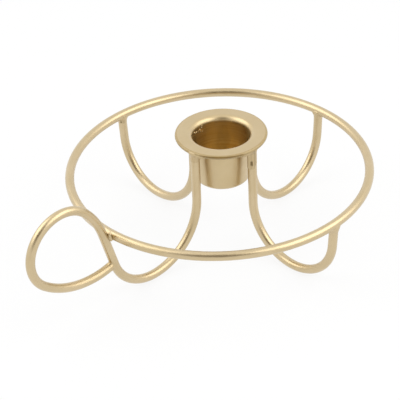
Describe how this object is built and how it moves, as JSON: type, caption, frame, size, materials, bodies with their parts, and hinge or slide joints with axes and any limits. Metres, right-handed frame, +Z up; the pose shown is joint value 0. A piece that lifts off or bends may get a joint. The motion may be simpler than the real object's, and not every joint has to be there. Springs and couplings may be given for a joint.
{
  "type": "wire candle holder",
  "caption": "Low wire candle holder: a flanged candle cup on U-bent legs, a round hoop that ties the legs, and a finger loop to carry it.",
  "frame": {"origin": "middle of the holder's box, on the table that the feet stand on", "axes": "+Z up, the finger loop points along -X, and the candle's axis stands upright 18.6 mm along +X and 1.7 mm along -Y"},
  "size_m": [0.1574, 0.1202, 0.0511],
  "materials": {
    "gold_cup": "satin gold lacquer on pressed steel",
    "gold_wire": "satin gold lacquer on drawn steel wire",
    "gold_weld": "satin gold lacquer over a weld bead"
  },
  "bodies": {
    "root": {"candle_cup": "gold_cup", "hoop": "gold_wire", "handle_leg": "gold_wire", "leg_left": "gold_wire", "leg_right": "gold_wire", "leg_opposite": "gold_wire", "cup_weld_handle": "gold_weld", "cup_weld_left": "gold_weld", "cup_weld_right": "gold_weld", "cup_weld_opposite": "gold_weld", "hoop_weld_handle": "gold_weld", "hoop_weld_left": "gold_weld", "hoop_weld_right": "gold_weld", "hoop_weld_opposite": "gold_weld", "handle_tip_weld": "gold_weld"}
  },
  "joints": []
}
